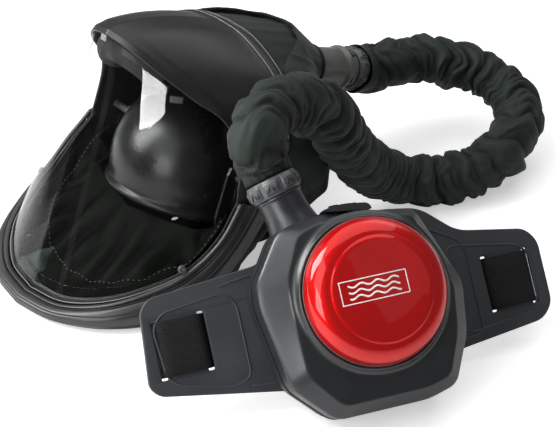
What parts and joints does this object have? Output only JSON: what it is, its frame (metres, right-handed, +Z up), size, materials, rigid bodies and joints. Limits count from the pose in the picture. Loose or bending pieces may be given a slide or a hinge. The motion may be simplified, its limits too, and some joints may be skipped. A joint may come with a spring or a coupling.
{
  "type": "powered air respirator",
  "caption": "Powered air respirator: tilting head unit with a wide clear visor and fabric hood, a sleeved breathing hose, and a belt-worn blower with a domed red filter cover and back pad.",
  "frame": {"origin": "middle of the foot, the flat facet along the blower's lower back edge on which it stands", "axes": "+Z up from the floor; +X to the right when the blower's red cover is seen from its front; +Y from the blower towards the head unit standing behind it"},
  "size_m": [0.5958, 0.5874, 0.2644],
  "materials": {
    "satin_black_plastic": "satin, fine moulded grain",
    "gloss_black_plastic": "gloss",
    "fitting_plastic": "satin",
    "charcoal_plastic": "satin, fine moulded grain",
    "pad_foam": "matte moulded foam",
    "diffuser_foam": "mottled grey, soft",
    "red_gloss_plastic": "metallic gloss",
    "clear_visor": "clear, polished",
    "hood_fabric": "matte coated weave",
    "brow_pad_fabric": "soft pile",
    "belt_webbing": "diagonal-ribbed weave",
    "black_rubber": "matte",
    "filter_media": "matte fibre",
    "circuit_board": "satin",
    "bright_steel": "brushed"
  },
  "bodies": {
    "respirator": {"air_diffuser": "diffuser_foam", "air_duct": "satin_black_plastic", "air_hose": "black_rubber", "back_pad": "pad_foam", "brow_shell": "satin_black_plastic", "buckle_socket": "fitting_plastic", "buckle_tongue": "fitting_plastic", "chin_frame": "satin_black_plastic", "control_board": "circuit_board", "control_panel": "fitting_plastic", "cover_collar": "charcoal_plastic", "fabric_hood": "hood_fabric", "face_seal": "hood_fabric", "filter_seal": "black_rubber", "filter_tray": "fitting_plastic", "front_housing": "charcoal_plastic", "hose_cuff_blower": "satin_black_plastic", "hose_cuff_head": "satin_black_plastic", "hose_sleeve": "hood_fabric", "housing_screw_1": "bright_steel", "housing_screw_2": "bright_steel", "housing_screw_3": "bright_steel", "housing_screw_4": "bright_steel", "motor": "bright_steel", "outlet_neck": "charcoal_plastic", "particulate_filter": "filter_media", "prefilter": "filter_media", "rear_connector": "satin_black_plastic", "rear_housing": "charcoal_plastic", "strap_keeper_left": "fitting_plastic", "strap_keeper_right": "fitting_plastic", "visor": "clear_visor", "visor_seal": "black_rubber", "volute": "fitting_plastic", "waist_strap": "belt_webbing"},
    "headgear": {"head_shell": "gloss_black_plastic", "headband": "fitting_plastic", "sweatband": "brow_pad_fabric", "crown_strap": "fitting_plastic", "ratchet_case": "fitting_plastic", "side_arm_left": "fitting_plastic", "side_arm_right": "fitting_plastic", "pivot_knob_left": "fitting_plastic", "pivot_knob_right": "fitting_plastic"},
    "ratchet_knob": {"ratchet_knob": "fitting_plastic"},
    "blower_ring": {"blower_locking_ring": "satin_black_plastic"},
    "head_ring": {"head_locking_ring": "satin_black_plastic"},
    "cover": {"filter_cover": "red_gloss_plastic"},
    "fan": {"impeller": "fitting_plastic", "motor_shaft": "bright_steel"},
    "battery": {"battery_pack": "charcoal_plastic"},
    "latch": {"battery_latch": "fitting_plastic"},
    "power_key": {"power_button": "black_rubber"},
    "flow_key": {"flow_button": "black_rubber"}
  },
  "joints": [
    {"name": "shield_tilt", "type": "hinge", "parent": "respirator", "child": "headgear", "pos_m": [-0.17833, 0.29464, 0.09872], "axis": [0.6691, -0.7431, 0], "range_deg": [0, 36]},
    {"name": "ratchet_turn", "type": "hinge", "parent": "headgear", "child": "ratchet_knob", "pos_m": [-0.12072, 0.34652, 0.01778], "axis": [0.689, 0.6204, -0.3746], "continuous": true},
    {"name": "blower_ring_turn", "type": "hinge", "parent": "respirator", "child": "blower_ring", "pos_m": [-0.08359, 0.0926, 0.17697], "axis": [-0.4478, 0.4993, 0.7417], "range_deg": [0, 40]},
    {"name": "head_ring_turn", "type": "hinge", "parent": "respirator", "child": "head_ring", "pos_m": [0.01251, 0.46648, 0.09634], "axis": [0.689, 0.6204, -0.3746], "range_deg": [0, 40]},
    {"name": "cover_turn", "type": "hinge", "parent": "respirator", "child": "cover", "pos_m": [0.0025, 0.022, 0.1126], "axis": [0.262, -0.7198, 0.6428], "range_deg": [0, 20]},
    {"name": "fan_spin", "type": "hinge", "parent": "respirator", "child": "fan", "pos_m": [-0.0093, 0.05442, 0.09148], "axis": [0.262, -0.7198, 0.6428], "continuous": true},
    {"name": "battery_slide", "type": "slide", "parent": "respirator", "child": "battery", "axis": [0.9397, 0.342, 0], "range_m": [0, 0.06]},
    {"name": "latch_press", "type": "slide", "parent": "battery", "child": "latch", "axis": [-0.9397, -0.342, 0], "range_m": [0, 0.0015]},
    {"name": "power_press", "type": "slide", "parent": "respirator", "child": "power_key", "axis": [0.2198, -0.604, -0.766], "range_m": [0, 0.0012]},
    {"name": "flow_press", "type": "slide", "parent": "respirator", "child": "flow_key", "axis": [0.2198, -0.604, -0.766], "range_m": [0, 0.0012]}
  ]
}
